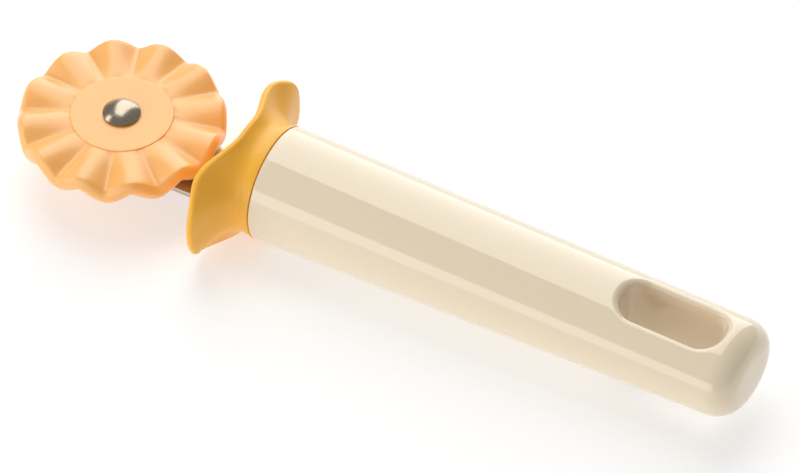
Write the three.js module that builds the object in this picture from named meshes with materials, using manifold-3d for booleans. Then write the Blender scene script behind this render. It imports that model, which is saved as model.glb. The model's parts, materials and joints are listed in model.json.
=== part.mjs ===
// A hand tool for cutting and crimping dough: a fluted wheel that turns on a shoulder rivet, a flat
// steel arm, a flared finger guard and a hollow handle with a hanging slot.
//
// Millimetres. Pieces are laid out from the axle: +X runs from the axle to the butt of the handle,
// +Z is the wheel's axis, and z = 0 is the handle's own axis. The last lines shift the whole tool
// so that the origin is the middle of its bounding box.

import * as THREE from 'three';
import { mergeVertices } from 'three/addons/utils/BufferGeometryUtils.js';
import Module from 'manifold-3d';

const wasm = await Module();
wasm.setup();

// ---------------------------------------------------------------- driving dimensions

const GAP = 0.3; // between two pieces that rest against each other
const WELL_OUTSIDE = 20; // farther from the axis than any surface of the handle

const WHEEL_RADIUS = 22.5;
const FLUTES = 12;
const CREST_ANGLE = THREE.MathUtils.degToRad(6); // where the first crest points
const HUB_RADIUS = 11.2;
const HUB_TOP = 1.95;
const WHEEL_BORE = 2.1;

const RIVET_HEAD_RADIUS = 4.1;
const SHANK_RADIUS = 2.0;
const TENON_RADIUS = 1.6; // the thinner end of the shank that is closed under the arm

const ARM_TOP = -5.1;
const ARM_THICKNESS = 1.4;
const ARM_HALF_WIDTH = 7.7;
const TANG_HALF_WIDTH = 5.2;

const COLLAR_X = 38.5; // the joint between guard and handle
const COLLAR_RADIUS = 12.9;
const WING_REACH = 23; // tips of the guard, to each side

const BUTT_X = 153.5;
const BUTT_HALF_WIDTH = 12;
const BUTT_HALF_HEIGHT = 9.75;
const BUTT_DOME = 6.2; // the domed end's length
const BUTT_FLAT = 0.35; // size of the flat in the dome's middle, as a share of the section

const SLOT_X = 134.5;
const SLOT_HALF_LENGTH = 12.1;
const SLOT_HALF_WIDTH = 5.4;
const SLOT_CORNER = 4.9;
const SLOT_LIP = 1.6; // radius of the rolled lip at both mouths

// ---------------------------------------------------------------- small tools

const { lerp, smoothstep } = THREE.MathUtils;

function arc(from, to, steps, pointAt) {
  const points = [];
  for (let k = 0; k <= steps; k++) {
    points.push(pointAt(lerp(from, to, k / steps)));
  }
  return points;
}

// A lathe whose every vertex is placed by pointAt(station, angle). Stations either start and end
// on the axis or close on themselves. They run so that the outside lies on the right of the way
// from the first to the last, with the axis on the left.
function shapedLathe(stations, segments, pointAt) {
  const outline = stations.map((station, k) => new THREE.Vector2(1, k));
  const geometry = new THREE.LatheGeometry(outline, segments);
  const position = geometry.attributes.position;
  for (let turn = 0; turn <= segments; turn++) {
    const angle = ((turn % segments) / segments) * 2 * Math.PI;
    stations.forEach((station, k) => {
      const point = pointAt(station, angle);
      position.setXYZ(turn * stations.length + k, point.x, point.y, point.z);
    });
  }
  return geometry;
}

function aboutX(x, radius, angle) {
  return new THREE.Vector3(x, radius * Math.cos(angle), radius * Math.sin(angle));
}

function aboutZ(radius, angle, z) {
  return new THREE.Vector3(radius * Math.cos(angle), radius * Math.sin(angle), z);
}

// A plain turned piece about Z. Its profile is a list of [radius, z].
function turnedAboutZ(profile, segments) {
  return shapedLathe(profile, segments, ([radius, z], angle) => aboutZ(radius, angle, z));
}

// A plain turned piece about X. Its profile is a list of [x, radius].
function turnedAboutX(profile, segments) {
  return shapedLathe(profile, segments, ([x, radius], angle) => aboutX(x, radius, angle));
}

// A solid for joining and cutting: position-only geometry, merged, with no collapsed triangles.
function solid(geometry) {
  const bare = geometry.clone();
  bare.deleteAttribute('normal');
  bare.deleteAttribute('uv');
  const merged = mergeVertices(bare, 1e-4);
  const index = merged.index.array;
  const triangles = [];
  for (let k = 0; k < index.length; k += 3) {
    const [a, b, c] = index.slice(k, k + 3);
    if (a !== b && b !== c && c !== a) {
      triangles.push(a, b, c);
    }
  }
  return new wasm.Manifold(new wasm.Mesh({
    numProp: 3,
    vertProperties: new Float32Array(merged.attributes.position.array),
    triVerts: new Uint32Array(triangles),
  }));
}

function geometryOf(manifold) {
  const mesh = manifold.getMesh();
  const geometry = new THREE.BufferGeometry();
  geometry.setAttribute('position', new THREE.BufferAttribute(mesh.vertProperties, 3));
  geometry.setIndex(new THREE.BufferAttribute(mesh.triVerts, 1));
  geometry.computeVertexNormals();
  return geometry;
}

function boxSolid(lowX, highX, halfY, lowZ, highZ) {
  const box = new THREE.BoxGeometry(highX - lowX, 2 * halfY, highZ - lowZ);
  box.translate((lowX + highX) / 2, 0, (lowZ + highZ) / 2);
  return solid(box);
}

function rodSolid(x, radius, lowZ, highZ) {
  const rod = new THREE.CylinderGeometry(radius, radius, highZ - lowZ, 24);
  rod.rotateX(Math.PI / 2);
  rod.translate(x, 0, (lowZ + highZ) / 2);
  return solid(rod);
}

function piece(name, geometry, color, roughness, metalness) {
  const material = new THREE.MeshStandardMaterial({ color, roughness, metalness });
  const mesh = new THREE.Mesh(geometry, material);
  mesh.name = name;
  return mesh;
}

const ORANGE = 0xf6bd7a;
const YELLOW = 0xe3b04a;
const IVORY = 0xebe0c8;
const CORE_WHITE = 0xd9d4c8;
const STEEL = 0xa8a39b;

// ---------------------------------------------------------------- fluted wheel

const RIM_EDGE_RADIUS = 21.4; // where the flat faces end and the rounded rim begins
const RIM_TOP = 1.45; // the faces' mean heights at the rim
const RIM_BOTTOM = -2.2;
const WEB_TOP = HUB_TOP - 0.25; // the faces' mean heights beside the hub
const WEB_BOTTOM = -2.5;
const FLUTE_START = HUB_RADIUS + 0.15;
const FLUTE_RISE_AT_HUB = 0.1;
const FLUTE_RISE_AT_RIM = 1.25;
const CREASE_ROUNDING = 0.18;
const BOSS_RADIUS = 6;
const SPACER_THICKNESS = 0.6;
const BOSS_BOTTOM = ARM_TOP + SPACER_THICKNESS + GAP;
const SAMPLES_PER_FLUTE = 10;

// A wave from -1 to 1 with broad round crests and narrow valleys.
function narrowValleys(phase) {
  const high = Math.hypot(1, CREASE_ROUNDING);
  const value = Math.hypot(Math.cos(phase / 2), CREASE_ROUNDING);
  return (2 * (value - CREASE_ROUNDING)) / (high - CREASE_ROUNDING) - 1;
}

// The top face has narrow valleys and the bottom face narrow crests, so that the corrugated
// plate keeps about the same thickness all the way round.
function fluteHeight(radius, angle, z) {
  const phase = FLUTES * (angle - CREST_ANGLE);
  const upward = THREE.MathUtils.clamp((z - RIM_BOTTOM) / (RIM_TOP - RIM_BOTTOM), 0, 1);
  const wave = lerp(-narrowValleys(phase + Math.PI), narrowValleys(phase), upward);
  const outward = Math.min(1, (radius - HUB_RADIUS) / (RIM_EDGE_RADIUS - HUB_RADIUS));
  return lerp(FLUTE_RISE_AT_HUB, FLUTE_RISE_AT_RIM, outward) * wave;
}

function flutedWheel() {
  const rimMiddle = (RIM_TOP + RIM_BOTTOM) / 2;
  const rimHalf = (RIM_TOP - RIM_BOTTOM) / 2;
  const rimDepth = WHEEL_RADIUS - RIM_EDGE_RADIUS;
  const rim = arc(-Math.PI / 2, Math.PI / 2, 6, (turn) => [
    RIM_EDGE_RADIUS + rimDepth * Math.cos(turn) ** 1.3,
    rimMiddle + rimHalf * Math.sin(turn),
  ]);
  const profile = [
    [WHEEL_BORE, BOSS_BOTTOM],
    [BOSS_RADIUS - 0.5, BOSS_BOTTOM],
    [BOSS_RADIUS, BOSS_BOTTOM + 0.5],
    [BOSS_RADIUS, WEB_BOTTOM],
    [HUB_RADIUS, WEB_BOTTOM],
    [FLUTE_START, WEB_BOTTOM],
    ...rim,
    [FLUTE_START, WEB_TOP],
    [HUB_RADIUS, HUB_TOP - 0.2],
    [HUB_RADIUS - 0.2, HUB_TOP],
    [WHEEL_BORE, HUB_TOP],
    [WHEEL_BORE, BOSS_BOTTOM],
  ];
  return shapedLathe(profile, FLUTES * SAMPLES_PER_FLUTE, ([radius, z], angle) => {
    const lift = radius < FLUTE_START ? 0 : fluteHeight(radius, angle, z);
    return aboutZ(radius, angle, z + lift);
  });
}

// ---------------------------------------------------------------- axle: rivet and spacer

const ARM_BOTTOM = ARM_TOP - ARM_THICKNESS;

function axleRivet() {
  const headBottom = HUB_TOP + GAP;
  const equator = HUB_TOP + 0.8;
  const domeRise = 1.35;
  const tailRadius = 3.2;
  const tailTop = ARM_BOTTOM - 0.1;
  const tailRise = 1.0;
  const shoulder = ARM_TOP + 0.1;
  const tail = arc(-Math.PI / 2, 0, 4, (turn) => [
    tailRadius * Math.cos(turn),
    tailTop - 0.2 + tailRise * Math.sin(turn),
  ]);
  const dome = arc(0, Math.PI / 2, 6, (turn) => [
    RIVET_HEAD_RADIUS * Math.cos(turn),
    equator + domeRise * Math.sin(turn),
  ]);
  return turnedAboutZ([
    ...tail,
    [tailRadius - 0.1, tailTop],
    [TENON_RADIUS, tailTop],
    [TENON_RADIUS, shoulder],
    [SHANK_RADIUS, shoulder],
    [SHANK_RADIUS, headBottom],
    [RIVET_HEAD_RADIUS - 0.5, headBottom],
    ...dome,
  ], 32);
}

function spacerWasher() {
  const bore = WHEEL_BORE + 0.1;
  const outer = 5;
  const bottom = ARM_TOP + GAP / 2;
  const top = bottom + SPACER_THICKNESS;
  return turnedAboutZ([
    [bore, bottom],
    [outer, bottom],
    [outer, top],
    [bore, top],
    [bore, bottom],
  ], 40);
}

// ---------------------------------------------------------------- steel arm with its tang

const ARM_TIP_RADIUS = 6.5;
const SHOULDER_X = 34; // the arm's shoulders seat in the guard's front pocket
const TANG_END_X = 82;
const PEG_RADIUS = 1.3;
const PEG_HOLE_RADIUS = PEG_RADIUS + GAP;
const PEG_PLACES = [58, 74];

function roundHole(x, radius) {
  const hole = new THREE.Path();
  hole.absarc(x, 0, radius, 0, 2 * Math.PI, true);
  return hole;
}

function wheelArm() {
  const taperEnd = 16;
  const tangRounding = 2;
  const outline = new THREE.Shape();
  outline.moveTo(0, -ARM_TIP_RADIUS);
  outline.lineTo(taperEnd, -ARM_HALF_WIDTH);
  outline.lineTo(SHOULDER_X, -ARM_HALF_WIDTH);
  outline.lineTo(SHOULDER_X, -TANG_HALF_WIDTH);
  outline.lineTo(TANG_END_X - tangRounding, -TANG_HALF_WIDTH);
  outline.absarc(TANG_END_X - tangRounding, tangRounding - TANG_HALF_WIDTH, tangRounding,
    -Math.PI / 2, 0);
  outline.absarc(TANG_END_X - tangRounding, TANG_HALF_WIDTH - tangRounding, tangRounding,
    0, Math.PI / 2);
  outline.lineTo(SHOULDER_X, TANG_HALF_WIDTH);
  outline.lineTo(SHOULDER_X, ARM_HALF_WIDTH);
  outline.lineTo(taperEnd, ARM_HALF_WIDTH);
  outline.lineTo(0, ARM_TIP_RADIUS);
  outline.absarc(0, 0, ARM_TIP_RADIUS, Math.PI / 2, (3 * Math.PI) / 2);
  outline.holes.push(roundHole(0, TENON_RADIUS + 0.1));
  PEG_PLACES.forEach((x) => outline.holes.push(roundHole(x, PEG_HOLE_RADIUS)));
  const bevel = 0.2;
  const plate = new THREE.ExtrudeGeometry(outline, {
    depth: ARM_THICKNESS - 2 * bevel,
    bevelThickness: bevel,
    bevelSize: bevel,
    bevelOffset: -bevel,
    bevelSegments: 1,
    curveSegments: 12,
  });
  plate.translate(0, 0, ARM_BOTTOM + bevel);
  return plate;
}

// ---------------------------------------------------------------- finger guard

const RIM_ROUND = 0.9; // half the thickness of the guard's edge
const RIM_MIDDLE_X = 31.8; // the edge's place above and below the handle's axis
const WING_SWEEP = 3.4; // how far the wings reach forward of that
const SWEEP_START = 2.5; // distances from the middle between which they come forward
const SWEEP_END = 16;
const TIP_RETURN = 1.7; // how far their tips curl back again
const WING_HALF_HEIGHT = 12.3;
const WING_SQUARENESS = 2.9;
const BROW_RADIUS = 12; // of the round brow over the handle between the wings
const KEEL_SQUARENESS = 2.3; // of the guard's lower half
const KEEL_CUT = 0.25; // cut off underneath, which leaves a flat 11 mm wide to lie on
const FLARE_TURN = THREE.MathUtils.degToRad(52); // how far the guard's back has turned at its edge
const WAIST_X = 35.8; // the valley between the wings and the strip beside the handle
const WAIST_RADIUS = 12.35;
const GUARD_FRONT_X = 30;
const SPIGOT_RADIUS = 10.2;
const SPIGOT_END_X = 45;

// Radius of a superellipse about its centre, in the direction of the angle.
function superellipse(halfY, halfZ, power, angle) {
  const alongY = Math.abs(Math.cos(angle) / halfY) ** power;
  const alongZ = Math.abs(Math.sin(angle) / halfZ) ** power;
  return (alongY + alongZ) ** (-1 / power);
}

// The larger of two radii, going over smoothly from one to the other.
function softLarger(first, second) {
  const blend = 5;
  return (first ** blend + second ** blend) ** (1 / blend);
}

// The guard's edge seen along X: two wings with a brow between them, and a lower half that is
// cut flat underneath.
function guardEdge(angle) {
  const reach = softLarger(WING_REACH, BROW_RADIUS);
  const depth = softLarger(WING_HALF_HEIGHT, BROW_RADIUS);
  const wing = superellipse(WING_REACH, WING_HALF_HEIGHT, WING_SQUARENESS, angle);
  const upper = softLarger(wing, BROW_RADIUS);
  const keel = superellipse(reach, depth + KEEL_CUT, KEEL_SQUARENESS, angle);
  const lower = Math.min(keel, depth / Math.abs(Math.sin(angle)));
  const radius = Math.sin(angle) < 0 ? lower : upper;
  const sideways = Math.abs(radius * Math.cos(angle));
  const forward = WING_SWEEP * smoothstep(sideways, SWEEP_START, SWEEP_END);
  const back = TIP_RETURN * smoothstep(sideways, SWEEP_END, WING_REACH);
  const x = RIM_MIDDLE_X - forward + back;
  return { x, radius: radius - RIM_ROUND };
}

// The guard's back is part of an ellipse from the waist to the edge. Its half axes:
function flareAxes(edge) {
  const along = (WAIST_X - edge.x) / Math.sin(FLARE_TURN);
  const outward = (edge.radius + RIM_ROUND - WAIST_RADIUS) / (1 - Math.cos(FLARE_TURN));
  return { along, outward };
}

const GUARD_STATIONS = [
  ...[0, 0.4, 0.7, 0.9].map((out) => ({ face: 'front', out })),
  ...arc(0, 1, 4, (share) => ({ face: 'edge', share })),
  ...arc(FLARE_TURN, 0, 6, (turn) => ({ face: 'back', turn })).slice(1),
  { face: 'joint', radius: COLLAR_RADIUS },
  { face: 'joint', radius: 0 },
];

function guardPoint(station, angle) {
  const edge = guardEdge(angle);
  const jointX = COLLAR_X - GAP / 2;
  if (station.face === 'front') {
    const x = lerp(GUARD_FRONT_X, edge.x - RIM_ROUND, station.out ** 2);
    return aboutX(x, station.out * edge.radius, angle);
  }
  if (station.face === 'joint') {
    return aboutX(jointX, station.radius, angle);
  }
  const { along, outward } = flareAxes(edge);
  if (station.face === 'edge') {
    const slope = (outward / along) * Math.tan(FLARE_TURN);
    const turn = lerp(-Math.PI / 2, Math.atan(slope), station.share);
    const x = edge.x + RIM_ROUND * Math.sin(turn);
    return aboutX(x, edge.radius + RIM_ROUND * Math.cos(turn), angle);
  }
  const offset = new THREE.Vector2(outward * Math.sin(station.turn), along * Math.cos(station.turn));
  offset.setLength(RIM_ROUND);
  const x = WAIST_X - along * Math.sin(station.turn) + offset.x;
  const rise = outward * (1 - Math.cos(station.turn)) + offset.y;
  return aboutX(x, WAIST_RADIUS - RIM_ROUND + rise, angle);
}

function guard() {
  const flare = solid(shapedLathe(GUARD_STATIONS, 64, guardPoint));
  const spigot = solid(turnedAboutX([
    [COLLAR_X - 2, 0],
    [COLLAR_X - 2, SPIGOT_RADIUS],
    [SPIGOT_END_X - 0.6, SPIGOT_RADIUS],
    [SPIGOT_END_X, SPIGOT_RADIUS - 0.6],
    [SPIGOT_END_X, 0],
  ], 48));
  const low = ARM_BOTTOM - GAP;
  const high = ARM_TOP + GAP;
  const pocket = boxSolid(0, SHOULDER_X + GAP, ARM_HALF_WIDTH + GAP, low, high);
  const slot = boxSolid(0, SPIGOT_END_X + 1, TANG_HALF_WIDTH + GAP, low, high);
  return geometryOf(flare.add(spigot).subtract(pocket).subtract(slot));
}

// ---------------------------------------------------------------- handle shell

const HANDLE_FRONT_X = COLLAR_X + GAP / 2;
const BORE_END_X = 112;
const BORE_RADIUS_FRONT = 10.5;
const BORE_RADIUS_END = 7.6;

function boreRadius(x) {
  const along = (x - HANDLE_FRONT_X) / (BORE_END_X - HANDLE_FRONT_X);
  return lerp(BORE_RADIUS_FRONT, BORE_RADIUS_END, along);
}

// The handle is round at the guard and goes over to a wide oval, with a domed butt.
function handleSection(x) {
  const along = Math.min(1, (x - COLLAR_X) / (BUTT_X - BUTT_DOME - COLLAR_X));
  const intoDome = Math.max(0, 1 - (BUTT_X - x) / BUTT_DOME);
  const shrink = lerp(BUTT_FLAT, 1, Math.cbrt(1 - intoDome ** 2));
  return {
    halfWidth: shrink * lerp(COLLAR_RADIUS, BUTT_HALF_WIDTH, along),
    halfHeight: shrink * lerp(COLLAR_RADIUS, BUTT_HALF_HEIGHT, along),
  };
}

function handleTopAt(x, y) {
  const { halfWidth, halfHeight } = handleSection(x);
  return halfHeight * Math.sqrt(1 - (y / halfWidth) ** 2);
}

function handleBody() {
  const wallEnd = BUTT_X - BUTT_DOME;
  const frontEdge = 0.3;
  const wall = arc(HANDLE_FRONT_X + frontEdge, wallEnd, 9, (x) => ({ x, scale: 1 }));
  const dome = arc(0, Math.PI / 2, 6, (turn) => ({
    x: wallEnd + BUTT_DOME * Math.sin(turn),
    scale: 1,
  })).slice(1);
  const stations = [
    { x: HANDLE_FRONT_X, scale: 0 },
    { x: HANDLE_FRONT_X, scale: 1 - frontEdge / COLLAR_RADIUS },
    ...wall,
    ...dome,
    { x: BUTT_X, scale: 0 },
  ];
  return shapedLathe(stations, 56, ({ x, scale }, angle) => {
    const { halfWidth, halfHeight } = handleSection(x);
    return aboutX(x, scale * superellipse(halfWidth, halfHeight, 2, angle), angle);
  });
}

// A cutter with rounded corners that widens into a rolled lip where it leaves the handle. Its
// levels are depths under the handle's surface, from outside one mouth to outside the other.
function slotCutter() {
  const straightX = SLOT_HALF_LENGTH - SLOT_CORNER;
  const straightY = SLOT_HALF_WIDTH - SLOT_CORNER;
  const outline = new THREE.Shape();
  [[1, -1], [1, 1], [-1, 1], [-1, -1]].forEach(([sideX, sideY], corner) => {
    const start = (corner - 1) * (Math.PI / 2);
    outline.absarc(sideX * straightX, sideY * straightY, SLOT_CORNER, start, start + Math.PI / 2);
  });
  const aboveSurface = -2;
  const roll = arc(0, Math.PI / 2, 4, (turn) => ({
    depth: SLOT_LIP * (1 - Math.sin(turn)),
    flare: SLOT_LIP * (1 - Math.cos(turn)),
  }));
  const mouth = [...roll, { depth: aboveSurface, flare: SLOT_LIP }];
  const levels = [
    ...mouth.map((level) => ({ ...level, side: -1 })).reverse(),
    ...mouth.map((level) => ({ ...level, side: 1 })),
  ];
  const cutter = new THREE.ExtrudeGeometry(outline, {
    depth: levels.length - 1,
    steps: levels.length - 1,
    curveSegments: 8,
    bevelEnabled: false,
  });
  const position = cutter.attributes.position;
  for (let k = 0; k < position.count; k++) {
    const { side, depth, flare } = levels[Math.round(position.getZ(k))];
    const innerX = THREE.MathUtils.clamp(position.getX(k), -straightX, straightX);
    const innerY = THREE.MathUtils.clamp(position.getY(k), -straightY, straightY);
    const scale = 1 + flare / SLOT_CORNER;
    const x = SLOT_X + innerX + (position.getX(k) - innerX) * scale;
    const y = innerY + (position.getY(k) - innerY) * scale;
    position.setXYZ(k, x, y, side * (handleTopAt(x, y) - depth));
  }
  return solid(cutter);
}

function handleShell() {
  const bore = solid(turnedAboutX([
    [HANDLE_FRONT_X - 1, 0],
    [HANDLE_FRONT_X - 1, BORE_RADIUS_FRONT],
    [HANDLE_FRONT_X, BORE_RADIUS_FRONT],
    [BORE_END_X - 2, boreRadius(BORE_END_X - 2)],
    [BORE_END_X, BORE_RADIUS_END - 2],
    [BORE_END_X, 0],
  ], 48));
  return geometryOf(solid(handleBody()).subtract(bore).subtract(slotCutter()));
}

// ---------------------------------------------------------------- core halves round the tang

const CORE_START_X = SPIGOT_END_X + GAP;
const CORE_END_X = TANG_END_X + 4;
const SPLIT_Z = ARM_TOP - ARM_THICKNESS / 2;

function coreBlank() {
  return solid(turnedAboutX([
    [CORE_START_X, 0],
    [CORE_START_X, boreRadius(CORE_START_X) - GAP],
    [CORE_END_X - 1, boreRadius(CORE_END_X - 1) - GAP],
    [CORE_END_X, boreRadius(CORE_END_X) - GAP - 1],
    [CORE_END_X, 0],
  ], 40));
}

function tangPocket() {
  return boxSolid(CORE_START_X - 1, TANG_END_X + GAP, TANG_HALF_WIDTH + GAP,
    ARM_BOTTOM - GAP / 2, ARM_TOP + GAP / 2);
}

const PEG_TOP = SPLIT_Z + 4;

function coreLower() {
  const kept = boxSolid(CORE_START_X - 1, CORE_END_X + 1, WELL_OUTSIDE,
    -WELL_OUTSIDE, SPLIT_Z - GAP / 2);
  let half = coreBlank().intersect(kept).subtract(tangPocket());
  PEG_PLACES.forEach((x) => {
    half = half.add(rodSolid(x, PEG_RADIUS, ARM_BOTTOM - 1, PEG_TOP));
  });
  return geometryOf(half);
}

// The upper half is cored out from its top, which leaves a wall all round and a floor on the tang.
function coreUpper() {
  const kept = boxSolid(CORE_START_X - 1, CORE_END_X + 1, WELL_OUTSIDE,
    SPLIT_Z + GAP / 2, WELL_OUTSIDE);
  let half = coreBlank().intersect(kept).subtract(tangPocket());
  PEG_PLACES.forEach((x) => {
    half = half.subtract(rodSolid(x, PEG_HOLE_RADIUS, SPLIT_Z - 1, PEG_TOP + GAP));
  });
  const wall = 3;
  const recessHalfWidth = 4.5;
  const middle = (CORE_START_X + CORE_END_X) / 2;
  const floor = PEG_TOP + 2;
  const recess = (lowX, highX) => boxSolid(lowX, highX, recessHalfWidth, floor, WELL_OUTSIDE);
  half = half.subtract(recess(CORE_START_X + wall, middle - wall / 2));
  half = half.subtract(recess(middle + wall / 2, CORE_END_X - wall));
  return geometryOf(half);
}

// ---------------------------------------------------------------- the assembled tool

const wheel = new THREE.Group();
wheel.add(piece('fluted_wheel', flutedWheel(), ORANGE, 0.5, 0));

const handle = new THREE.Group();
handle.add(piece('axle_rivet', axleRivet(), STEEL, 0.2, 1));
handle.add(piece('spacer_washer', spacerWasher(), STEEL, 0.35, 1));
handle.add(piece('wheel_arm', wheelArm(), STEEL, 0.3, 1));
handle.add(piece('guard', guard(), YELLOW, 0.55, 0));
handle.add(piece('core_lower', coreLower(), CORE_WHITE, 0.6, 0));
handle.add(piece('core_upper', coreUpper(), CORE_WHITE, 0.6, 0));
handle.add(piece('handle_shell', handleShell(), IVORY, 0.2, 0));

const tool = new THREE.Group();
tool.add(wheel, handle);
tool.position.x = (WHEEL_RADIUS - BUTT_X) / 2;

export default tool;
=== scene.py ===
import json
import math

import bmesh
import bpy
from mathutils import Matrix, Quaternion, Vector


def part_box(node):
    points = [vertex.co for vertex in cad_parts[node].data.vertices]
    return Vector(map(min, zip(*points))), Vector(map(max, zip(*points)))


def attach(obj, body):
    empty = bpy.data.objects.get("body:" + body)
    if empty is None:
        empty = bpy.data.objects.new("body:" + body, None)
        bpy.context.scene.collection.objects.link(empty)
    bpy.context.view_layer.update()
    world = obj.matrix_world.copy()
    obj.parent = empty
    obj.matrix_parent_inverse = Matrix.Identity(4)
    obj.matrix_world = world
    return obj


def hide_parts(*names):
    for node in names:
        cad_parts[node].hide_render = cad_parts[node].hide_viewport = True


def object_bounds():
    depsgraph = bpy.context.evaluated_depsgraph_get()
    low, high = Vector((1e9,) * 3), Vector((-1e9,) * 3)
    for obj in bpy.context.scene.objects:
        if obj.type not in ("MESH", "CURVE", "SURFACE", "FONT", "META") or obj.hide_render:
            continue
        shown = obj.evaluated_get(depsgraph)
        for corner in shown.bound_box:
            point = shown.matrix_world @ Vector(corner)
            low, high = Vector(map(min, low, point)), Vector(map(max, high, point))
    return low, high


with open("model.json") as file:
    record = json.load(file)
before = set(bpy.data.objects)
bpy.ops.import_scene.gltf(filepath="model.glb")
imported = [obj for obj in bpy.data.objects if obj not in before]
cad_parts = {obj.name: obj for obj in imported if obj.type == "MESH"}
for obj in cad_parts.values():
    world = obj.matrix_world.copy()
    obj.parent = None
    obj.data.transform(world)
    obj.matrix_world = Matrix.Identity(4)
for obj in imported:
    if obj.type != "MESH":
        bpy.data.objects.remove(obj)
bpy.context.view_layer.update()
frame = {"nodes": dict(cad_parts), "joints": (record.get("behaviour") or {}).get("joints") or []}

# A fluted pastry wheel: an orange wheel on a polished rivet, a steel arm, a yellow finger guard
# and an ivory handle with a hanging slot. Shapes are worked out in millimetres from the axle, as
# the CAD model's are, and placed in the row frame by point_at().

MM = 0.001

JOINT = frame["joints"][0]
AXLE_X = JOINT["pos_m"][0]
SHELL_LOW, SHELL_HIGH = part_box("handle_shell")
WHEEL_LOW, WHEEL_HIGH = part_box("fluted_wheel")
ARM_LOW, ARM_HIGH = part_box("wheel_arm")
WASHER_LOW, WASHER_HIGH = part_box("spacer_washer")


def from_axle(x):
    """A place along the tool, in millimetres from the axle."""
    return (x - AXLE_X) / MM


# ------------------------------------------------------------------ sizes as in the CAD model
# In millimetres. x is measured from the axle and z from the handle's axis.

GAP = 0.3  # left round the arm in the guard
SOFT_EDGE = 0.2  # radius or width of a small rounded edge

WHEEL_RADIUS = (WHEEL_HIGH.x - WHEEL_LOW.x) / 2 / MM
FLUTES = 12
CREST_ANGLE = math.radians(6)
HUB_RADIUS = 11.2
HUB_TOP = 1.95
WHEEL_BORE = 2.1
RIM_EDGE_RADIUS = 21.4
RIM_TOP = 1.45
RIM_BOTTOM = -2.2
WEB_TOP = HUB_TOP - 0.25
WEB_BOTTOM = -2.5
FLUTE_START = HUB_RADIUS + 0.12
FLUTE_RISE_AT_HUB = 0.1
FLUTE_RISE_AT_RIM = 1.25
BOSS_RADIUS = 6.0  # of the boss under the wheel, which runs on the washer

ARM_TOP = ARM_HIGH.z / MM
ARM_BOTTOM = ARM_LOW.z / MM
WASHER_BOTTOM = WASHER_LOW.z / MM
WASHER_TOP = WASHER_HIGH.z / MM
BOSS_BOTTOM = WASHER_TOP + 0.15

COLLAR_RADIUS = 12.9
HANDLE_FRONT = from_axle(SHELL_LOW.x)
COLLAR_X = HANDLE_FRONT - 0.15
BUTT_X = from_axle(SHELL_HIGH.x)
BUTT_HALF_WIDTH = 12.0
BUTT_HALF_HEIGHT = 9.75
BUTT_DOME = 6.2  # the domed end's length
BUTT_FLAT = 0.35  # size of the flat in the dome's middle, as a share of the section
SLOT_X = 134.5
SLOT_CORNER = 4.9
SLOT_CORE_X = 12.1 - SLOT_CORNER  # the slot is this core rectangle, grown by its corner radius
SLOT_CORE_Y = 5.4 - SLOT_CORNER
SLOT_LIP = 1.6  # radius of the rolled lip at both mouths


# ------------------------------------------------------------------ mesh tools


def lerp(a, b, t):
    return a + (b - a) * t


def clamped(value, low=0.0, high=1.0):
    return min(high, max(low, value))


def smoothstep(value, low, high):
    t = clamped((value - low) / (high - low))
    return t * t * (3 - 2 * t)


def spread(start, end, steps):
    """steps + 1 evenly spaced values."""
    return [lerp(start, end, k / steps) for k in range(steps + 1)]


def point_at(x, y, z):
    return Vector((AXLE_X + x * MM, y * MM, z * MM))


def about_z(radius, angle, z):
    return point_at(radius * math.cos(angle), radius * math.sin(angle), z)


def about_x(x, radius, angle):
    return point_at(x, radius * math.cos(angle), radius * math.sin(angle))


def arc(centre_x, centre_y, radius, start, end, steps):
    return [(centre_x + radius * math.cos(t), centre_y + radius * math.sin(t))
            for t in spread(start, end, steps)]


def linked(name, data):
    """A new object in the scene."""
    made = bpy.data.objects.new(name, data)
    bpy.context.scene.collection.objects.link(made)
    return made


def mesh_of(name, bm):
    """A new mesh with a bmesh's shape. Frees the bmesh."""
    mesh = bpy.data.meshes.new(name)
    bm.to_mesh(mesh)
    bm.free()
    return mesh


def finished(name, bm, material, body, stands_for):
    """Makes the piece of a bmesh: smooth, with sharp edges only where faces meet at an angle.
    stands_for lists the CAD nodes that the piece replaces."""
    bm.normal_update()
    mesh = mesh_of(name, bm)
    mesh.polygons.foreach_set("use_smooth", [True] * len(mesh.polygons))
    mesh.set_sharp_from_angle(angle=math.radians(35))
    mesh.materials.append(material)
    piece = linked(name, mesh)
    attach(piece, body)
    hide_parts(*stands_for)


def bridge(bm, first, second):
    """Joins two closed rings of as many vertices with a band of faces."""
    for k in range(len(first)):
        after = (k + 1) % len(first)
        bm.faces.new((first[k], first[after], second[after], second[k]))


def add_rings(bm, stations, steps, place, closed):
    """Adds a lathe-like surface and returns its rings, one for each station. place(station,
    angle) gives a point; closed joins the last ring to the first."""
    angles = [2 * math.pi * k / steps for k in range(steps)]
    rings = [[bm.verts.new(place(station, angle)) for angle in angles] for station in stations]
    for first, second in zip(rings, rings[1:]):
        bridge(bm, first, second)
    if closed:
        bridge(bm, rings[-1], rings[0])
    return rings


def close_ring(bm, ring, outward):
    """Fills a flat ring with one face whose normal is on outward's side."""
    face = bm.faces.new(ring)
    face.normal_update()
    if face.normal.dot(outward) < 0:
        face.normal_flip()


# ------------------------------------------------------------------ materials


def node(tree, kind, **inputs):
    made = tree.nodes.new(kind)
    for name, value in inputs.items():
        made.inputs[name.replace("_", " ")].default_value = value
    return made


def noise(tree, scale, detail):
    """3D noise in object space. scale is in waves per metre."""
    where = tree.nodes.new("ShaderNodeTexCoord")
    made = node(tree, "ShaderNodeTexNoise", Scale=scale, Detail=detail)
    tree.links.new(where.outputs["Object"], made.inputs["Vector"])
    return made.outputs["Fac"]


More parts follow.
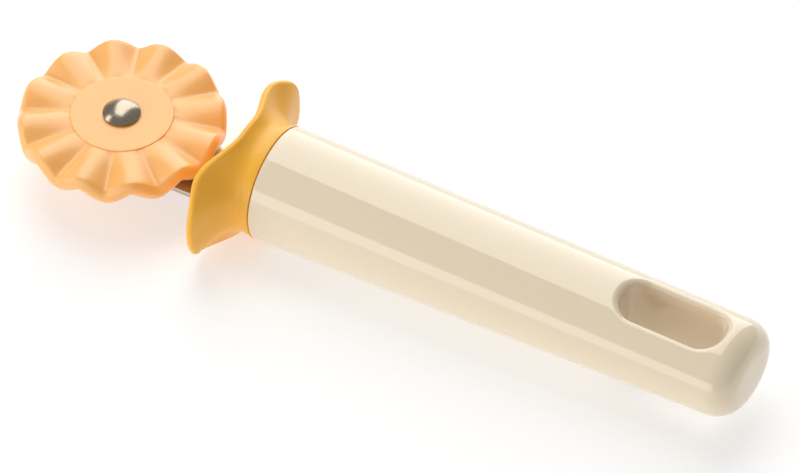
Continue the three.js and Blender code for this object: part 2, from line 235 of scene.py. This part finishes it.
def ramp(tree, value, low, high):
    """Maps a noise's middle range onto low to high."""
    made = tree.nodes.new("ShaderNodeMapRange")
    made.inputs["To Min"].default_value = low
    made.inputs["To Max"].default_value = high
    made.inputs["From Min"].default_value = 0.3
    made.inputs["From Max"].default_value = 0.7
    tree.links.new(value, made.inputs["Value"])
    return made.outputs["Result"]


def mix_colours(tree, factor, first, second):
    made = tree.nodes.new("ShaderNodeMix")
    made.data_type = "RGBA"
    made.inputs["A"].default_value = (*first, 1)
    made.inputs["B"].default_value = (*second, 1)
    tree.links.new(factor, made.inputs["Factor"])
    return made.outputs["Result"]


def bumped(tree, shader, height, distance, strength):
    made = tree.nodes.new("ShaderNodeBump")
    made.inputs["Distance"].default_value = distance
    made.inputs["Strength"].default_value = strength
    tree.links.new(height, made.inputs["Height"])
    tree.links.new(made.outputs["Normal"], shader.inputs["Normal"])


def new_material(name):
    material = bpy.data.materials.new(name)
    material.use_nodes = True
    tree = material.node_tree
    shader = tree.nodes["Principled BSDF"]
    return material, tree, shader


def moulded_plastic(name, light, deep, *, roughness, grain, bump, glow, glow_depth, gloss):
    """Translucent moulded plastic. Its colour drifts slowly from light to deep. grain is the
    mould grain's waves per metre and bump its strength, glow the share of light scattered inside
    to a depth of glow_depth metres, and gloss the share of clear gloss over it."""
    material, tree, shader = new_material(name)
    drift = noise(tree, 90, 3)
    tree.links.new(mix_colours(tree, drift, light, deep), shader.inputs["Base Color"])
    uneven = 0.04
    tree.links.new(ramp(tree, noise(tree, 260, 4), roughness - uneven, roughness + uneven),
                   shader.inputs["Roughness"])
    shader.inputs["Subsurface Weight"].default_value = glow
    shader.inputs["Subsurface Radius"].default_value = (1.0, 0.55, 0.2)
    shader.inputs["Subsurface Scale"].default_value = glow_depth
    shader.inputs["Coat Weight"].default_value = gloss
    shader.inputs["Coat Roughness"].default_value = roughness
    bumped(tree, shader, noise(tree, grain, 2), 0.00004, bump)
    return material


def polished_steel(name, colour, roughness, stretch):
    """Stainless steel with fine scratches. stretch is their waves per metre along each axis, so
    a smaller number draws them out along that axis."""
    material, tree, shader = new_material(name)
    where = tree.nodes.new("ShaderNodeTexCoord")
    pull = tree.nodes.new("ShaderNodeMapping")
    pull.inputs["Scale"].default_value = stretch
    tree.links.new(where.outputs["Object"], pull.inputs["Vector"])
    lines = node(tree, "ShaderNodeTexNoise", Scale=1.0, Detail=4.0)
    tree.links.new(pull.outputs["Vector"], lines.inputs["Vector"])
    worn = mix_colours(tree, noise(tree, 500, 4), colour, [c * 0.86 for c in colour])
    tree.links.new(worn, shader.inputs["Base Color"])
    tree.links.new(ramp(tree, lines.outputs["Fac"], roughness * 0.7, roughness * 1.5),
                   shader.inputs["Roughness"])
    shader.inputs["Metallic"].default_value = 1.0
    bumped(tree, shader, lines.outputs["Fac"], 0.00001, 0.25)
    return material


WHEEL_PLASTIC = moulded_plastic(
    "wheel_plastic_look", (0.99, 0.50, 0.135), (0.98, 0.475, 0.12),
    roughness=0.36, grain=2600, bump=0.12, glow=0.3, glow_depth=0.002, gloss=0.8)
GUARD_PLASTIC = moulded_plastic(
    "guard_plastic_look", (0.98, 0.49, 0.044), (0.96, 0.47, 0.038),
    roughness=0.36, grain=3200, bump=0.16, glow=0.15, glow_depth=0.001, gloss=0)
HANDLE_PLASTIC = moulded_plastic(
    "handle_plastic_look", (0.84, 0.71, 0.52), (0.83, 0.70, 0.51),
    roughness=0.07, grain=120, bump=0.05, glow=0.04, glow_depth=0.002, gloss=0.4)
CORE_PLASTIC = moulded_plastic(
    "core_plastic_look", (0.70, 0.66, 0.58), (0.66, 0.62, 0.54),
    roughness=0.5, grain=1800, bump=0.25, glow=0.05, glow_depth=0.001, gloss=0)
RIVET_STEEL = polished_steel("rivet_steel_look", (0.42, 0.355, 0.275), 0.22, (500, 9000, 9000))
ARM_STEEL = polished_steel("arm_steel_look", (0.60, 0.54, 0.49), 0.17, (120, 4000, 4000))
WASHER_STEEL = polished_steel("washer_steel_look", (0.58, 0.56, 0.54), 0.25, (1500, 1500, 1500))


# ------------------------------------------------------------------ fluted wheel


def narrow_valleys(phase):
    """A wave from -1 to 1 with broad round crests and narrow valleys."""
    rounding = 0.16
    value = math.hypot(math.cos(phase / 2), rounding)
    return 2 * (value - rounding) / (math.hypot(1, rounding) - rounding) - 1


def flute_height(radius, angle, z):
    """How far a flute lifts a point of the wheel. Both faces have narrow valleys."""
    phase = FLUTES * (angle - CREST_ANGLE)
    upward = clamped((z - RIM_BOTTOM) / (RIM_TOP - RIM_BOTTOM))
    wave = lerp(-narrow_valleys(phase + math.pi), narrow_valleys(phase), upward)
    outward = min(1.0, (radius - HUB_RADIUS) / (RIM_EDGE_RADIUS - HUB_RADIUS))
    return lerp(FLUTE_RISE_AT_HUB, FLUTE_RISE_AT_RIM, outward) * wave


def rim_profile():
    """The wheel's rounded edge, from its lower face to its upper face."""
    middle = (RIM_TOP + RIM_BOTTOM) / 2
    half = (RIM_TOP - RIM_BOTTOM) / 2
    depth = WHEEL_RADIUS - RIM_EDGE_RADIUS
    points = []
    for turn in spread(-math.pi / 2, math.pi / 2, 22):
        out = max(0.0, math.cos(turn)) ** 1.5
        up = math.copysign(abs(math.sin(turn)) ** 1.1, turn)
        points.append((RIM_EDGE_RADIUS + depth * out, middle + half * up))
    return points


def web(start, end, steps=8):
    """The slanting face between two (radius, height) points."""
    return [(lerp(start[0], end[0], k / steps), lerp(start[1], end[1], k / steps))
            for k in range(steps + 1)]


def fluted_wheel():
    profile = [
        (WHEEL_BORE, BOSS_BOTTOM + SOFT_EDGE),
        (WHEEL_BORE + SOFT_EDGE, BOSS_BOTTOM),
        (BOSS_RADIUS - 0.4, BOSS_BOTTOM),
        (BOSS_RADIUS - 0.1, BOSS_BOTTOM + 0.1),
        (BOSS_RADIUS, BOSS_BOTTOM + 0.4),
        (BOSS_RADIUS, WEB_BOTTOM - SOFT_EDGE),
        (BOSS_RADIUS + SOFT_EDGE, WEB_BOTTOM),
        (HUB_RADIUS - 0.3, WEB_BOTTOM),
        (HUB_RADIUS, WEB_BOTTOM),
        *web((FLUTE_START, WEB_BOTTOM), (RIM_EDGE_RADIUS, RIM_BOTTOM))[:-1],
        *rim_profile(),
        *web((RIM_EDGE_RADIUS, RIM_TOP), (FLUTE_START, WEB_TOP))[1:],
        *arc(HUB_RADIUS - SOFT_EDGE, HUB_TOP - SOFT_EDGE, SOFT_EDGE, 0, math.pi / 2, 4),
        (HUB_RADIUS - 1, HUB_TOP),
        (WHEEL_BORE + SOFT_EDGE, HUB_TOP),
        (WHEEL_BORE, HUB_TOP - SOFT_EDGE),
    ]

    def place(station, angle):
        radius, z = station
        lift = 0 if radius < FLUTE_START else flute_height(radius, angle, z)
        return about_z(radius, angle, z + lift)

    bm = bmesh.new()
    add_rings(bm, profile, FLUTES * 24, place, closed=True)
    finished("pastry_wheel", bm, WHEEL_PLASTIC, "wheel", ["fluted_wheel"])


# ------------------------------------------------------------------ rivet and washer


def turned(at, angle):
    radius, z = at
    return about_z(radius, angle, z)


def rivet():
    low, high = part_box("axle_rivet")
    head_radius = (high.x - low.x) / 2 / MM
    head_bottom = HUB_TOP + 0.3
    equator = head_bottom + SOFT_EDGE
    dome_rise = high.z / MM - equator
    shank = 2.0
    tenon = 1.6
    shoulder = ARM_TOP + 0.1
    tail_radius = 3.2
    tail_top = ARM_BOTTOM - 0.1
    tail_equator = tail_top - SOFT_EDGE
    tail_rise = tail_equator - low.z / MM
    tail = [(tail_radius * math.cos(t), tail_equator + tail_rise * math.sin(t))
            for t in spread(-math.radians(88), 0, 14)]
    under = arc(head_radius - SOFT_EDGE, equator, SOFT_EDGE, -math.pi / 2, 0, 4)[:-1]
    ball = (head_radius ** 2 + dome_rise ** 2) / (2 * dome_rise)  # the domed head's radius
    rim_tilt = math.asin(head_radius / ball)
    dome = [(ball * math.sin(t), equator + dome_rise - ball * (1 - math.cos(t)))
            for t in spread(rim_tilt, math.radians(0.5), 20)]
    profile = [
        *tail,
        (tail_radius - 0.05, tail_top - 0.03),
        (tail_radius - 0.15, tail_top),
        (tenon, tail_top),
        (tenon, shoulder),
        (shank, shoulder),
        (shank, head_bottom),
        *under,
        *dome,
    ]
    bm = bmesh.new()
    rings = add_rings(bm, profile, 96, turned, closed=False)
    close_ring(bm, rings[0], Vector((0, 0, -1)))
    close_ring(bm, rings[-1], Vector((0, 0, 1)))
    finished("axle_rivet_polished", bm, RIVET_STEEL, "handle", ["axle_rivet"])


def washer():
    low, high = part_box("spacer_washer")
    outer = (high.x - low.x) / 2 / MM
    bore = WHEEL_BORE + 0.1
    soft = 0.12
    profile = [
        (bore + soft, WASHER_BOTTOM),
        (outer - soft, WASHER_BOTTOM),
        (outer, WASHER_BOTTOM + soft),
        (outer, WASHER_TOP - soft),
        (outer - soft, WASHER_TOP),
        (bore + soft, WASHER_TOP),
        (bore, WASHER_TOP - soft),
        (bore, WASHER_BOTTOM + soft),
    ]
    bm = bmesh.new()
    add_rings(bm, profile, 72, turned, closed=True)
    finished("spacer_washer_turned", bm, WASHER_STEEL, "handle", ["spacer_washer"])


# ------------------------------------------------------------------ steel arm

ARM_TIP_RADIUS = 6.5
ARM_WIDE_X = 16  # the arm widens from its tip to here
ARM_HALF_WIDTH = (ARM_HIGH.y - ARM_LOW.y) / 2 / MM
TANG_HALF_WIDTH = 5.2
SHOULDER_X = 34.0
TANG_END_X = from_axle(ARM_HIGH.x)
PEG_PLACES = (58, 74)
PEG_HOLE_RADIUS = 1.6
RIVET_HOLE_RADIUS = 1.7


def hole(x, radius, steps):
    return arc(x, 0, radius, 0, 2 * math.pi, steps)[:-1]


def wheel_arm():
    """A stamped strip with softly rounded edges, made as a filled and bevelled flat curve."""
    quarter = math.pi / 2
    corner = 2.0
    end = TANG_END_X - corner
    outline = [
        *arc(0, 0, ARM_TIP_RADIUS, quarter, 3 * quarter, 32),
        (ARM_WIDE_X, -ARM_HALF_WIDTH),
        (SHOULDER_X, -ARM_HALF_WIDTH),
        (SHOULDER_X, -TANG_HALF_WIDTH),
        *arc(end, corner - TANG_HALF_WIDTH, corner, -quarter, 0, 8),
        *arc(end, TANG_HALF_WIDTH - corner, corner, 0, quarter, 8),
        (SHOULDER_X, TANG_HALF_WIDTH),
        (SHOULDER_X, ARM_HALF_WIDTH),
        (ARM_WIDE_X, ARM_HALF_WIDTH),
    ]
    holes = [hole(0, RIVET_HOLE_RADIUS, 32)]
    holes += [hole(x, PEG_HOLE_RADIUS, 24) for x in PEG_PLACES]
    soft = 0.28  # radius of the stamped edges
    curve = bpy.data.curves.new("arm_outline", "CURVE")
    curve.dimensions = "2D"
    curve.fill_mode = "BOTH"
    curve.extrude = ((ARM_TOP - ARM_BOTTOM) / 2 - soft) * MM
    curve.bevel_depth = soft * MM
    curve.bevel_resolution = 3
    curve.offset = -soft * MM
    for path in [outline, *holes]:
        spline = curve.splines.new("POLY")
        spline.points.add(len(path) - 1)
        spline.use_cyclic_u = True
        for point, (x, y) in zip(spline.points, path):
            point.co = (x * MM, y * MM, 0, 1)
    maker = linked("arm_maker", curve)
    bpy.context.view_layer.update()
    bm = bmesh.new()
    bm.from_mesh(maker.to_mesh())
    bpy.data.objects.remove(maker)
    bmesh.ops.remove_doubles(bm, verts=bm.verts, dist=1e-7)
    bmesh.ops.translate(bm, verts=bm.verts, vec=point_at(0, 0, (ARM_TOP + ARM_BOTTOM) / 2))
    finished("steel_arm", bm, ARM_STEEL, "handle", ["wheel_arm"])


# ------------------------------------------------------------------ finger guard

RIM_ROUND = 0.9  # half the thickness of the guard's edge
RIM_MIDDLE_X = 31.8  # the edge's place above and below the handle's axis
WING_SWEEP = 3.4  # how far the wings reach forward of that
SWEEP_START = 2.5  # distances from the middle between which they come forward
SWEEP_END = 16.0
TIP_RETURN = 1.7  # how far their tips curl back again
WING_REACH = 23.0  # tips of the guard, to each side
WING_HALF_HEIGHT = 12.3
WING_SQUARENESS = 2.9
BROW_RADIUS = 12.0  # of the round brow over the handle between the wings
KEEL_SQUARENESS = 2.3  # of the guard's lower half
KEEL_CUT = 0.25  # cut off underneath, which leaves the flat to lie on
FLARE_TURN = math.radians(52)  # how far the guard's back has turned at its edge
WAIST_X = 35.8
WAIST_RADIUS = 12.35
GUARD_FRONT_X = 30.0
SPIGOT_RADIUS = 10.2  # of the guard's round end inside the handle
SPIGOT_END = 45.0


def superellipse(half_y, half_z, power, angle):
    """Radius at an angle of an ellipse, whose corners fill out as power grows past 2."""
    along_y = abs(math.cos(angle) / half_y) ** power
    along_z = abs(math.sin(angle) / half_z) ** power
    return (along_y + along_z) ** (-1 / power)


def soft_larger(first, second):
    """The larger of two radii, going over smoothly from one to the other."""
    blend = 5
    return (first ** blend + second ** blend) ** (1 / blend)


def guard_edge(angle):
    """Place along the tool and radius of the middle of the guard's rounded edge. The lower half
    has a flat underneath, on which the tool lies."""
    if math.sin(angle) < 0:
        reach = soft_larger(WING_REACH, BROW_RADIUS)
        depth = soft_larger(WING_HALF_HEIGHT, BROW_RADIUS)
        keel = superellipse(reach, depth + KEEL_CUT, KEEL_SQUARENESS, angle)
        radius = min(keel, depth / abs(math.sin(angle)))
    else:
        wing = superellipse(WING_REACH, WING_HALF_HEIGHT, WING_SQUARENESS, angle)
        radius = soft_larger(wing, BROW_RADIUS)
    sideways = abs(radius * math.cos(angle))
    forward = WING_SWEEP * smoothstep(sideways, SWEEP_START, SWEEP_END)
    back = TIP_RETURN * smoothstep(sideways, SWEEP_END, WING_REACH)
    return RIM_MIDDLE_X - forward + back, radius - RIM_ROUND


def flare_axes(x, radius):
    """Half axes of the ellipse that the guard's back follows from the waist to the edge."""
    along = (WAIST_X - x) / math.sin(FLARE_TURN)
    outward = (radius + RIM_ROUND - WAIST_RADIUS) / (1 - math.cos(FLARE_TURN))
    return along, outward


def guard_front(out, angle):
    """The hollow front, from the middle at 0 to the edge at 1."""
    x, radius = guard_edge(angle)
    return about_x(lerp(GUARD_FRONT_X, x - RIM_ROUND, out ** 2), out * radius, angle)


def guard_rim(share, angle):
    """The rounded edge, from its front at 0 to where the back takes over at 1."""
    x, radius = guard_edge(angle)
    along, outward = flare_axes(x, radius)
    turn = lerp(-math.pi / 2, math.atan(outward / along * math.tan(FLARE_TURN)), share)
    return about_x(x + RIM_ROUND * math.sin(turn), radius + RIM_ROUND * math.cos(turn), angle)


def guard_back(turn, angle):
    """The flared back, from the waist at a turn of 0 to the edge at FLARE_TURN."""
    along, outward = flare_axes(*guard_edge(angle))
    offset = Vector((outward * math.sin(turn), along * math.cos(turn))).normalized() * RIM_ROUND
    x = WAIST_X - along * math.sin(turn) + offset.x
    rise = outward * (1 - math.cos(turn)) + offset.y
    return about_x(x, WAIST_RADIUS - RIM_ROUND + rise, angle)


def box_cutter(low_x, high_x, half_y, low_z, high_z):
    """A box that is even about the middle plane, for cut_away()."""
    cutter = bmesh.new()
    bmesh.ops.create_cube(cutter, size=1)
    size = Matrix.Diagonal(((high_x - low_x) * MM, 2 * half_y * MM, (high_z - low_z) * MM, 1))
    centre = point_at((low_x + high_x) / 2, 0, (low_z + high_z) / 2)
    bmesh.ops.transform(cutter, matrix=Matrix.Translation(centre) @ size, verts=cutter.verts)
    return linked("cutter", mesh_of("cutter", cutter))


def cut_away(bm, cutters):
    """Returns the bmesh without the cutter objects' space, and removes the cutters."""
    blank = linked("blank", mesh_of("blank", bm))
    for cutter in cutters:
        step = blank.modifiers.new("cut", "BOOLEAN")
        step.operation = "DIFFERENCE"
        step.solver = "EXACT"
        step.object = cutter
    bpy.context.view_layer.update()
    result = bmesh.new()
    result.from_mesh(blank.evaluated_get(bpy.context.evaluated_depsgraph_get()).to_mesh())
    for used in [blank, *cutters]:
        bpy.data.objects.remove(used)
    return result


def guard():
    jaw = COLLAR_X - 0.08  # where the guard's back meets the handle
    soft = 0.25
    chamfer = 0.07
    stations = [lambda a, out=out: guard_front(out, a) for out in spread(0.02, 1, 24)[:-1]]
    stations += [lambda a, t=t: guard_rim(t, a) for t in spread(0, 1, 12)]
    stations += [lambda a, t=t: guard_back(t, a) for t in spread(FLARE_TURN, 0, 24)[1:]]
    spigot = [
        (jaw - soft, COLLAR_RADIUS),
        (jaw - chamfer, COLLAR_RADIUS - chamfer),
        (jaw, COLLAR_RADIUS - soft),
        (jaw, SPIGOT_RADIUS),
        (SPIGOT_END - 0.5, SPIGOT_RADIUS),
        (SPIGOT_END, SPIGOT_RADIUS - 0.5),
    ]
    stations += [lambda a, at=at: about_x(at[0], at[1], a) for at in spigot]
    bm = bmesh.new()
    rings = add_rings(bm, stations, 240, lambda station, angle: station(angle), closed=False)
    close_ring(bm, rings[0], Vector((-1, 0, 0)))
    close_ring(bm, rings[-1], Vector((1, 0, 0)))
    low = ARM_BOTTOM - GAP
    high = ARM_TOP + GAP
    cutters = [
        box_cutter(0, SHOULDER_X + GAP, ARM_HALF_WIDTH + GAP, low, high),
        box_cutter(1, SPIGOT_END + 1, TANG_HALF_WIDTH + GAP, low, high),
    ]
    finished("finger_guard", cut_away(bm, cutters), GUARD_PLASTIC, "handle", ["guard"])


# ------------------------------------------------------------------ handle

BORE_RADIUS_FRONT = 10.5
BORE_RADIUS_END = 7.7
BORE_END_X = 110.0
AROUND = 144  # steps round the handle
PATCH_START = 118.0  # the slot's patch reaches from here
PATCH_BUTT_REACH = 3.2  # to this far into the domed butt
SLOT_CELLS = 17  # and this many steps round the handle to each side


def handle_section(x):
    """Half width and half height of the handle's oval section, with the domed butt."""
    along = clamped((x - COLLAR_X) / (BUTT_X - BUTT_DOME - COLLAR_X))
    into_dome = clamped(1 - (BUTT_X - x) / BUTT_DOME)
    shrink = lerp(BUTT_FLAT, 1, (1 - into_dome ** 2) ** (1 / 3))
    return (shrink * lerp(COLLAR_RADIUS, BUTT_HALF_WIDTH, along),
            shrink * lerp(COLLAR_RADIUS, BUTT_HALF_HEIGHT, along))


def handle_skin(x, angle):
    half_width, half_height = handle_section(x)
    return about_x(x, superellipse(half_width, half_height, 2, angle), angle)


def handle_top(x, y):
    """Height of the handle's skin above its axis."""
    half_width, half_height = handle_section(x)
    return half_height * math.sqrt(1 - (y / half_width) ** 2)


def lip_drop(distance):
    """How far the rolled lip lies under the handle's skin at a distance from the slot's wall."""
    inward = max(0.0, 1 - distance / SLOT_LIP)
    return SLOT_LIP * (1 - math.sqrt(1 - inward * inward))


def slot_patch(bm, border, side):
    """The skin between a border of the handle's own vertices and the slot, over the rolled lip.
    Returns the ring of vertices at the slot's wall."""
    lip_steps = 10
    skin_steps = 8
    directions = []
    for vertex in border:
        outer = Vector((from_axle(vertex.co.x) - SLOT_X, vertex.co.y / MM))
        core = Vector((clamped(outer.x, -SLOT_CORE_X, SLOT_CORE_X),
                       clamped(outer.y, -SLOT_CORE_Y, SLOT_CORE_Y)))
        directions.append((core, (outer - core).normalized(), outer))
    rings = [border]

    def ring_at(places):
        ring = []
        for (x, y), distance in places:
            z = handle_top(SLOT_X + x, y) - lip_drop(distance)
            ring.append(bm.verts.new(point_at(SLOT_X + x, y, side * z)))
        return ring

    for step in range(1, skin_steps + 1):
        places = []
        for core, away, outer in directions:
            lip_edge = core + away * (SLOT_CORNER + SLOT_LIP)
            places.append((outer.lerp(lip_edge, step / skin_steps), SLOT_LIP))
        rings.append(ring_at(places))
    for turn in spread(math.pi / 2, 0, lip_steps)[1:]:
        distance = SLOT_LIP * (1 - math.cos(turn))
        rings.append(ring_at([(core + away * (SLOT_CORNER + distance), distance)
                              for core, away, outer in directions]))
    for outer_ring, inner_ring in zip(rings, rings[1:]):
        bridge(bm, outer_ring, inner_ring)
    return rings[-1]


def tunnel(bm, upper, lower):
    """The slot's straight wall between the two mouths' inner rings."""
    steps = 10
    below = {(round(v.co.x, 6), round(v.co.y, 6)): v for v in lower}
    feet = [below[(round(v.co.x, 6), round(v.co.y, 6))] for v in upper]
    last = upper
    for step in range(1, steps + 1):
        if step == steps:
            ring = feet
        else:
            ring = [bm.verts.new(a.co.lerp(b.co, step / steps)) for a, b in zip(upper, feet)]
        bridge(bm, last, ring)
        last = ring


def handle_shell():
    """The handle: its bore, its rounded front edge and its skin, which the slot then pierces."""
    wall_end = BUTT_X - BUTT_DOME
    bore = [(BORE_END_X, BORE_RADIUS_END), (HANDLE_FRONT + 0.3, BORE_RADIUS_FRONT),
            (HANDLE_FRONT, BORE_RADIUS_FRONT + 0.3)]
    edge = [(HANDLE_FRONT + SOFT_EDGE * (1 - math.sin(t)),
             COLLAR_RADIUS - SOFT_EDGE * (1 - math.cos(t))) for t in spread(math.pi / 2, 0, 4)]
    wall = spread(HANDLE_FRONT + SOFT_EDGE, PATCH_START, 40)[1:]
    wall += spread(PATCH_START, wall_end, int(wall_end - PATCH_START))[1:]
    dome = [wall_end + BUTT_DOME * math.sin(t) for t in spread(0, math.pi / 2, 18)][1:]
    stations = bore + edge + [(x, None) for x in wall + dome]

    def place(station, angle):
        x, radius = station
        return handle_skin(x, angle) if radius is None else about_x(x, radius, angle)

    bm = bmesh.new()
    rings = add_rings(bm, stations, AROUND, place, closed=False)
    close_ring(bm, rings[0], Vector((-1, 0, 0)))
    close_ring(bm, rings[-1], Vector((1, 0, 0)))
    xs = [round(x, 3) if radius is None else None for x, radius in stations]
    start = xs.index(PATCH_START)
    stop = next(k for k, x in enumerate(xs) if x is not None and x > wall_end + PATCH_BUTT_REACH)
    mouths = []
    for side, middle in ((1, AROUND // 4), (-1, 3 * AROUND // 4)):
        low, high = middle - SLOT_CELLS, middle + SLOT_CELLS
        inside = [rings[k][j] for k in range(start + 1, stop) for j in range(low + 1, high)]
        bmesh.ops.delete(bm, geom=inside, context="VERTS")
        border = [rings[k][low] for k in range(start, stop)]
        border += [rings[stop][j] for j in range(low, high)]
        border += [rings[k][high] for k in range(stop, start, -1)]
        border += [rings[start][j] for j in range(high, low, -1)]
        if side < 0:
            border = border[:1] + border[:0:-1]
        mouths.append(slot_patch(bm, border, side))
    tunnel(bm, *mouths)
    bmesh.ops.recalc_face_normals(bm, faces=bm.faces)
    finished("ivory_handle", bm, HANDLE_PLASTIC, "handle", ["handle_shell"])


fluted_wheel()
rivet()
washer()
wheel_arm()
guard()
handle_shell()

for name in ("core_lower", "core_upper"):
    core = frame["nodes"][name]
    core.data.materials.clear()
    core.data.materials.append(CORE_PLASTIC)


# ------------------------------------------------------------------ floor, light and camera

LOW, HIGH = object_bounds()
CENTRE = (LOW + HIGH) / 2


def floor():
    half = 3.0
    below = 0.0002
    bm = bmesh.new()
    bmesh.ops.create_grid(bm, x_segments=4, y_segments=4, size=half)
    bmesh.ops.translate(bm, verts=bm.verts, vec=(0, 0, LOW.z - below))
    mesh = mesh_of("floor", bm)
    material, tree, shader = new_material("pale_floor")
    tree.links.new(mix_colours(tree, noise(tree, 3, 2), (0.62, 0.62, 0.62), (0.60, 0.60, 0.60)),
                   shader.inputs["Base Color"])
    shader.inputs["Roughness"].default_value = 0.8
    shader.inputs["Specular IOR Level"].default_value = 0.1
    shader.inputs["Emission Color"].default_value = (1, 1, 1, 1)
    shader.inputs["Emission Strength"].default_value = 0.47
    mesh.materials.append(material)
    piece = linked("floor", mesh)


def softbox(name, turn, distance, along, length, breadth, radiance):
    """A white area light that faces the tool. turn is its angle round the handle, in degrees from
    the far horizon up over the top, and along its place along the handle. length is its size
    along the handle and breadth its size round it."""
    angle = math.radians(turn)
    way = Vector((0, math.cos(angle), math.sin(angle)))
    across = Vector((1, 0, 0))
    lamp = bpy.data.lights.new(name, "AREA")
    lamp.shape = "RECTANGLE"
    lamp.size = length
    lamp.size_y = breadth
    lamp.energy = radiance * math.pi * length * breadth
    turned_to = Matrix((across, way.cross(across), way)).transposed().to_4x4()
    place = CENTRE + way * distance + across * along
    linked(name, lamp).matrix_world = Matrix.Translation(place) @ turned_to


def studio():
    world = bpy.data.worlds.new("studio")
    bpy.context.scene.world = world
    world.use_nodes = True
    background = world.node_tree.nodes["Background"]
    background.inputs["Color"].default_value = (1.0, 1.0, 1.0, 1)
    background.inputs["Strength"].default_value = 0.35
    softbox("back_softbox", 42, 1.2, -0.5, length=1.08, breadth=3.2, radiance=2.35)
    softbox("wheel_softbox", 140, 1.2, -1.6, length=1.0, breadth=1.6, radiance=2.8)
    softbox("front_softbox", 169, 1.3, -0.4, length=1.6, breadth=0.5, radiance=2.1)


def camera():
    """The photograph's view, through a long lens: from the near side and the butt's end, looking
    down on the handle."""
    azimuth, elevation, roll = math.radians(30.32), math.radians(46.57), math.radians(-0.87)
    distance = 2.208
    target = point_at(69.09, -0.95, 0)
    back = Vector((math.sin(azimuth) * math.cos(elevation),
                   -math.cos(azimuth) * math.cos(elevation), math.sin(elevation)))
    lens = bpy.data.cameras.new("photo_camera")
    lens.sensor_width = 36
    lens.lens = 468.9
    lens.clip_end = 20
    made = linked("photo_camera", lens)
    made.rotation_mode = "QUATERNION"
    made.rotation_quaternion = back.to_track_quat("Z", "Y") @ Quaternion((0, 0, 1), roll)
    made.location = target + back * distance
    bpy.context.scene.camera = made


floor()
studio()
camera()
bpy.context.scene.view_settings.view_transform = "Standard"
